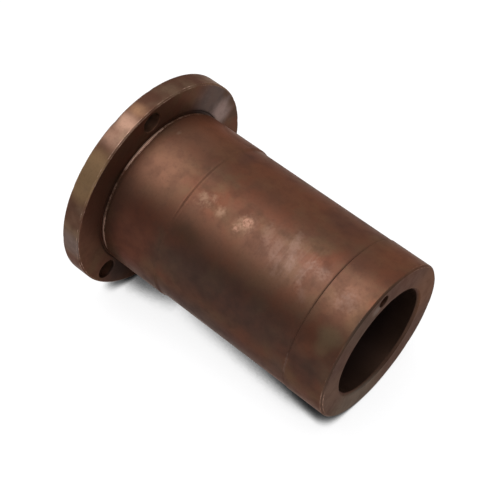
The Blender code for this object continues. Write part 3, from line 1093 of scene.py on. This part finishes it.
# %% Rubbed marks of the sleeve
rubbed_marks = [
    Mark(0.0183, -1.2, body, 0.0012, 0.0022, 0.8, RUBBED_TAN, 0.80),
    Mark(0.0515, 27.0, body, 0.0062, 0.0056, 0.9, RUBBED_TAN, 0.70),
    Mark(0.0537, 23.0, body, 0.0036, 0.0030, 0.9, RUBBED_TAN, 0.75),
    Mark(0.0497, 26.0, body, 0.0026, 0.0034, 0.9, RUBBED_TAN, 0.55),
    Mark(0.0608, 27.0, body, 0.0032, 0.0036, 0.9, RUBBED_TAN, 0.90),
    Mark(0.0733, 24.5, body, 0.0062, 0.0072, 0.9, RUBBED_TAN, 0.75),
    Mark(0.0742, 22.5, body, 0.0030, 0.0030, 0.9, RUBBED_PINK, 0.70),
    Mark(0.0714, 30.8, body, 0.0024, 0.0026, 0.9, RUBBED_PINK, 0.75),
    Mark(0.1305, 27.0, body, 0.0080, 0.0070, 0.9, RUBBED_GREY, 0.60),
    Mark(0.1140, 21.0, body, 0.0065, 0.0045, 0.9, RUBBED_GREY, 0.55),
    Mark(0.0610, -95.0, body, 0.0060, 0.0060, 0.8, RUBBED_TAN, 0.70),
    Mark(0.1000, -150.0, body, 0.0050, 0.0080, 0.8, RUBBED_PINK, 0.55),
]
dried_ring = Mark(0.0734, 23.2, body, 0.0016, 0.0016, 0.3, RUBBED_PINK, 0.80)
rubbed_strokes = [
    Stroke([(0.0830, 18.0), (0.0858, 26.5)], 0.0034, RUBBED_GREY, 0.35),
    Stroke([(0.0905, 23.0), (0.0916, 30.0)], 0.0028, RUBBED_GREY, 0.40),
    Stroke([(0.0953, 9.0), (0.0968, 17.0), (0.1008, 30.0)], 0.0026, RUBBED_GREY, 0.60),
    Stroke([(0.0951, 31.0), (0.0970, 38.5)], 0.0024, RUBBED_GREY, 0.40),
    Stroke([(0.1085, 21.5), (0.1074, 28.0), (0.1090, 34.5)], 0.0025, RUBBED_GREY, 0.50),
    Stroke([(0.1118, 37.0), (0.1135, 41.0)], 0.0024, RUBBED_GREY, 0.40),
    Stroke([(0.1199, 77.0), (0.1202, 86.0), (0.1199, 95.0)], 0.0008, RUBBED_GREY, 0.80),
    Stroke([(0.0660, 112.0), (0.0760, 118.0), (0.0900, 121.0)], 0.0016, RUBBED_GREY, 0.60),
    Stroke([(0.0540, -70.0), (0.0620, -62.0), (0.0700, -58.0)], 0.0016, RUBBED_TAN, 0.60),
]
print(len(rubbed_marks), "rubbed marks and", len(rubbed_strokes), "strokes")

# %% Sleeve bronze with its stains and painted light
NOSE_SHARE = 0.9
bench = start_bronze("sleeve_bronze", cloud_size=0.020, pitch=0.0011)
tree = bench.tree
color = clouded(bench, SLEEVE_BROWN, SLEEVE_RED, SLEEVE_OLIVE)
station = lay(tree, "ShaderNodeSeparateXYZ", {0: bench.place}).outputs[0]
on_nose_face = step(tree, station, nose_x - NOSE_CHAMFER, nose_x - NOSE_CHAMFER / 2)
color = paint(tree, times(tree, on_nose_face, NOSE_SHARE), NOSE_BROWN, color)
keep_zones(sleeve_mesh, "zones", sleeve_zones + nose_zones)
color = mottled(bench, add_zones(bench, color, "zones"), SLEEVE_DARK)
print("sleeve stained:", len(tree.nodes), "nodes")

# %% Rub the sleeve
SCUFF_STATION = 0.100
SCUFF_LENGTH = 0.016
SCUFF_SIDES = [Side(27.0, 14.0, 0.42)]
SPOTS_PER_METRE = 620.0
SPOT_DISTORTION = 0.4
SPOT_SPAN = (0.36, 0.62)
LATHE_SPAN = (0.46, 0.66)
LEAST_PATCH = 0.35
LEAST_SCUFF = 0.3
LEAST_STROKE = 0.60


def spotted(tree, spots, least):
    """Share that is 1 in the spots and least between them."""
    return step(tree, spots, 0.0, 1.0, least, 1.0)


places, _ = mesh_arrays(sleeve_mesh)
scuff_way = (places[:, 0] - back_x - SCUFF_STATION) / SCUFF_LENGTH
keep_on_points(sleeve_mesh, "scuff", np.exp(-scuff_way ** 2) * share_round(places, 0.0, SCUFF_SIDES))
spots = noise(tree, bench.place, SPOTS_PER_METRE, detail=3.0, distortion=SPOT_DISTORTION)
spots = step(tree, spots, *SPOT_SPAN)
patched, patches = add_marks(bench, color, rubbed_marks)
color = paint(tree, spotted(tree, spots, LEAST_PATCH), patched, color)
scuff = times(tree, kept(tree, "scuff")["Fac"], step(tree, bench.marks["Marks"], *LATHE_SPAN))
color = paint(tree, times(tree, scuff, spotted(tree, spots, LEAST_SCUFF)), RUBBED_GREY, color)
smeared, smears = add_strokes(bench, color, rubbed_strokes)
color = paint(tree, spotted(tree, spots, LEAST_STROKE), smeared, color)
ring = times(tree, mark_masks(bench, dried_ring)["Tide"], dried_ring.strength)
color = paint(tree, ring, dried_ring.color, color)
print("sleeve rubbed:", len(tree.nodes), "nodes")

# %% Painted shade in the bore
BORE_SHADE_START = 0.002
BORE_SHADE_FULL = 0.016
# The bore is painted darker, and darker still away from the nose mouth: painted shade.
in_bore = step(tree, bench.marks["Radius"], bore_radius, bore_radius + BORE_CHAMFER, 1.0, 0.0)
deep_in_bore = step(tree, calc(tree, "ABSOLUTE", station), nose_x - BORE_SHADE_FULL, nose_x - BORE_SHADE_START, 1.0, 0.0)
color = paint(tree, in_bore, paint(tree, deep_in_bore, BORE_DEEP_SHADE, BORE_BROWN), color)
finish_bronze(bench, color, calc(tree, "MAXIMUM", patches, smears))
sleeve_mesh.materials.append(bench.material)
print("sleeve finish:", len(tree.nodes), "nodes")

# %% [markdown]
# ## The flange's finish
# The flange face is dark brown, burnished to a lilac grey on one side, with a paler painted
# reflection in that patch and a painted shadow on the face beside the lower part of the sleeve. Its
# rim is paler than its faces, with a pink rubbed patch beside a long olive one.

# %% Colours of the flange
FLANGE_BROWN = (0.097, 0.046, 0.029, 1.0)
FLANGE_RED = (0.108, 0.045, 0.027, 1.0)
FLANGE_OLIVE = (0.098, 0.055, 0.031, 1.0)
FLANGE_DARK = (0.060, 0.032, 0.022, 1.0)
FACE_RED = (0.132, 0.057, 0.036, 1.0)
FACE_BROWN = (0.074, 0.046, 0.033, 1.0)
# Near black: a painted shadow on the face beside the lower part of the sleeve.
FACE_SHADOW = (0.036, 0.026, 0.023, 1.0)
LILAC_GREY = (0.093, 0.074, 0.071, 1.0)
# Pale lilac: a painted reflection in the burnished patch.
LILAC_REFLECTION = (0.280, 0.205, 0.185, 1.0)
RIM_TAN = (0.147, 0.091, 0.059, 1.0)
RIM_PINK = (0.348, 0.207, 0.147, 1.0)
RIM_ORANGE = (0.270, 0.146, 0.083, 1.0)
RIM_OLIVE = (0.250, 0.154, 0.080, 1.0)
RIM_RED = (0.090, 0.041, 0.027, 1.0)
RIM_GREY = (0.163, 0.125, 0.115, 1.0)
print("flange brown", FLANGE_BROWN)

# %% Stains of the flange, with a painted shadow and a painted reflection
FACE_DEPTH = 0.002
face = seat_x - back_x
rim_middle = face / 2
face_zones = [
    Mark(face, 80.0, 0.0480, FACE_DEPTH, 0.0330, 0.8, FACE_RED, 0.90),
    # Painted shadow on the face beside the lower part of the sleeve.
    Mark(face, 142.0, 0.0470, FACE_DEPTH, 0.0180, 0.8, FACE_SHADOW, 0.85),
    Mark(face, -49.0, 0.0465, FACE_DEPTH, 0.0240, 0.6, LILAC_GREY, 0.85),
    # Painted reflection in the lilac grey patch.
    Mark(face, -61.0, 0.0455, FACE_DEPTH, 0.0110, 0.8, LILAC_REFLECTION, 0.95),
    Mark(face, -74.0, 0.0535, FACE_DEPTH, 0.0055, 0.6, FACE_BROWN, 0.85),
    Mark(face, -63.0, 0.0535, FACE_DEPTH, 0.0050, 0.6, FACE_BROWN, 0.85),
    Mark(face, -53.0, 0.0540, FACE_DEPTH, 0.0045, 0.6, FACE_BROWN, 0.80),
    Mark(0.0, 140.0, 0.0480, FACE_DEPTH, 0.0200, 0.6, LILAC_GREY, 0.60),
    Mark(0.0, -60.0, 0.0470, FACE_DEPTH, 0.0180, 0.6, RIM_OLIVE, 0.35),
]
rim_zones = [
    Mark(rim_middle, -26.0, flange_radius, 0.0120, 0.0085, 0.8, RIM_RED, 0.75),
    Mark(rim_middle, 13.0, flange_radius, 0.0070, 0.0055, 0.9, RIM_ORANGE, 0.85),
    Mark(rim_middle, 21.5, flange_radius, 0.0110, 0.0070, 0.8, RIM_PINK, 0.85),
    Mark(rim_middle, 31.0, flange_radius, 0.0120, 0.0065, 0.9, RIM_PINK, 0.50),
    Mark(rim_middle, 52.0, flange_radius, 0.0130, 0.0165, 0.5, RIM_OLIVE, 0.90),
    Mark(rim_middle, 75.0, flange_radius, 0.0120, 0.0075, 0.7, RIM_RED, 0.75),
    Mark(rim_middle, 92.0, flange_radius, 0.0120, 0.0110, 0.7, RIM_GREY, 0.75),
    Mark(rim_middle, 150.0, flange_radius, 0.0120, 0.0180, 0.6, RIM_OLIVE, 0.70),
    Mark(rim_middle, -110.0, flange_radius, 0.0120, 0.0160, 0.6, RIM_PINK, 0.55),
]
print(len(face_zones), "stains on the faces and", len(rim_zones), "on the rim")

# %% Flange bronze
RIM_FADE = (0.0009, 0.0004)
bench = start_bronze("flange_bronze", cloud_size=0.015, pitch=0.0009)
tree = bench.tree
color = clouded(bench, FLANGE_BROWN, FLANGE_RED, FLANGE_OLIVE)
keep_zones(flange_mesh, "face_zones", face_zones)
keep_zones(flange_mesh, "rim_zones", rim_zones)
color = add_zones(bench, color, "face_zones")
rim_span = [flange_radius - depth for depth in RIM_FADE]
on_rim = step(tree, bench.marks["Radius"], *rim_span)
rim_color = paint(tree, bench.clouds["Broad"], RIM_RED, RIM_TAN)
rim_color = add_zones(bench, rim_color, "rim_zones")
color = mottled(bench, paint(tree, on_rim, rim_color, color), FLANGE_DARK)
finish_bronze(bench, color, 0.0)
flange_mesh.materials.append(bench.material)
print("flange finish:", len(tree.nodes), "nodes")

# %% [markdown]
# ## Floor, light and camera
# The bushing lies on its side on a white sweep, touching it at the flange rim and at the nose edge,
# so the floor is tilted a little in the part's own frame. The paper glows for the camera and for
# reflections, which keeps it white, and it darkens close under the metal, where little light gets in.

# %% Floor
contact_run = (nose_x - NOSE_CHAMFER) - (seat_x - FLANGE_CHAMFER)
floor_tilt = math.atan2(flange_radius - nose_land_radius, contact_run)
floor_normal = Vector((-math.sin(floor_tilt), 0.0, math.cos(floor_tilt)))
floor_contact = Vector((seat_x - FLANGE_CHAMFER, 0.0, -flange_radius))
FLOOR_RADIUS = 0.42
FLOOR_SIDES = 96
FLOOR_DROP = 0.00005

bpy.ops.mesh.primitive_circle_add(vertices=FLOOR_SIDES, radius=FLOOR_RADIUS, fill_type="NGON")
floor = bpy.context.object
floor.name = "floor"
floor_turn = Matrix.Rotation(-floor_tilt, 4, "Y")
floor_middle = floor_contact - floor_contact.project(floor_turn.to_3x3() @ Vector((1.0, 0.0, 0.0)))
floor.data.transform(Matrix.Translation(floor_middle - floor_normal * FLOOR_DROP) @ floor_turn)
print(f"floor tilted {math.degrees(floor_tilt):.2f} degrees")

# %% White paper
PAPER_WHITE = (0.22, 0.22, 0.225, 1.0)
PAPER_BLACK = (0.0, 0.0, 0.0, 1.0)
PAPER_GLOW = 0.84
SHADE_REACH = 0.030
SHADE_SPAN = (0.27, 0.42)
DEEPEST_SHADE = 0.10
CONTACT_REACH = 0.012
CONTACT_SPAN = (0.48, 0.75)
DEEPEST_CONTACT = 0.10
SHADE_RAYS = 32
OPEN_SIDE = (0.6, 0.6, 0.0)
floor_material = bpy.data.materials.new("white_sweep")
floor_material.use_nodes = True
tree = floor_material.node_tree
tree.nodes.clear()
open_way = Vector(OPEN_SIDE) + floor_normal
open_normal = lay(tree, "ShaderNodeCombineXYZ", {0: open_way.x, 1: open_way.y, 2: open_way.z}).outputs[0]
shade = lay(tree, "ShaderNodeAmbientOcclusion", {"Distance": SHADE_REACH}, samples=SHADE_RAYS)
contact = lay(tree, "ShaderNodeAmbientOcclusion", {"Distance": CONTACT_REACH}, samples=SHADE_RAYS)
wire(tree, contact.inputs["Normal"], vector_calc(tree, "NORMALIZE", open_normal)[0])
lit_under = step(tree, shade.outputs["AO"], *SHADE_SPAN, DEEPEST_SHADE)
lit_beside = step(tree, contact.outputs["AO"], *CONTACT_SPAN, DEEPEST_CONTACT)
lit = times(tree, lit_under, lit_beside)
paper_color = paint(tree, lit, PAPER_WHITE, PAPER_BLACK)
paper = lay(tree, "ShaderNodeBsdfDiffuse", {"Color": paper_color})
rays = lay(tree, "ShaderNodeLightPath").outputs
mirrored = calc(tree, "MAXIMUM", rays["Is Glossy Ray"], rays["Is Transmission Ray"])
seen = calc(tree, "MAXIMUM", rays["Is Camera Ray"], mirrored)
glow_level = times(tree, times(tree, seen, PAPER_GLOW), lit)
glow = lay(tree, "ShaderNodeEmission", {"Strength": glow_level})
both = lay(tree, "ShaderNodeAddShader", {0: paper.outputs[0], 1: glow.outputs[0]})
lay(tree, "ShaderNodeOutputMaterial", {"Surface": both.outputs[0]})
floor.data.materials.append(floor_material)
print("paper glow", PAPER_GLOW)

# %% [markdown]
# The room is white below the horizon, as an endless sweep, and grey above it, darker behind the
# camera than across from it. One wide softbox hangs over the part, a little to the camera's side.

# %% Room
ROOM_NEAR = 0.16
ROOM_FAR = 0.75
SWEEP_WHITE = 1.0
ROOM_COLOR = (1.0, 1.0, 1.0, 1.0)
HORIZON_SPAN = (-0.02, 0.10)
world = bpy.data.worlds.new("studio")
bpy.context.scene.world = world
world.use_nodes = True
tree = world.node_tree
looking = lay(tree, "ShaderNodeTexCoord").outputs["Generated"]
away_from_camera = lay(tree, "ShaderNodeSeparateXYZ", {0: looking}).outputs[1]
room_inputs = {"Value": away_from_camera, "From Min": -1.0, "To Min": ROOM_NEAR, "To Max": ROOM_FAR}
room = lay(tree, "ShaderNodeMapRange", room_inputs).outputs["Result"]
rise = vector_calc(tree, "DOT_PRODUCT", looking, floor_normal)["Value"]
level = step(tree, rise, *HORIZON_SPAN, SWEEP_WHITE, room)
wire(tree, tree.nodes["Background"].inputs["Color"], ROOM_COLOR)
wire(tree, tree.nodes["Background"].inputs["Strength"], level)
print("room from", ROOM_NEAR, "to", ROOM_FAR)

# %% Softbox
SOFTBOX_HEIGHT = 0.9
SOFTBOX_SIDE = 1.0
SOFTBOX_RADIANCE = 3.3
SOFTBOX_SHIFT = -0.20
softbox_data = bpy.data.lights.new("softbox", "AREA")
softbox_data.shape = "SQUARE"
softbox_data.size = SOFTBOX_SIDE
softbox_data.energy = SOFTBOX_RADIANCE * math.pi * SOFTBOX_SIDE ** 2
softbox = bpy.data.objects.new("softbox", softbox_data)
softbox.location = Vector((0.0, SOFTBOX_SHIFT, 0.0)) + floor_normal * SOFTBOX_HEIGHT
softbox.rotation_euler = softbox.location.to_track_quat("Z", "Y").to_euler()
bpy.context.scene.collection.objects.link(softbox)
print("softbox at", [round(place, 3) for place in softbox.location])

# %% [markdown]
# The camera was found by fitting the outlines of the flange, the steps and the bore, with their
# sizes from the solids, to their pictures in the photograph.

# %% Camera
CAMERA_PLACE = Vector((0.22650, -0.32498, 0.45612))
CAMERA_AIM = Vector((-0.00396, -0.00123, 0.00122))
CAMERA_LENS = 95.32
SENSOR_WIDTH = 36.0
camera_data = bpy.data.cameras.new("camera")
camera_data.sensor_width = SENSOR_WIDTH
camera_data.lens = CAMERA_LENS
camera = bpy.data.objects.new("camera", camera_data)
forward = (CAMERA_AIM - CAMERA_PLACE).normalized()
right = forward.cross(floor_normal).normalized()
above = right.cross(forward)
turn = Matrix((right, above, -forward)).transposed()
camera.matrix_world = Matrix.Translation(CAMERA_PLACE) @ turn.to_4x4()
bpy.context.scene.collection.objects.link(camera)
bpy.context.scene.camera = camera
bpy.context.scene.view_settings.view_transform = "Standard"
print("camera lens", CAMERA_LENS)

# %% Finish
print("scene ready")
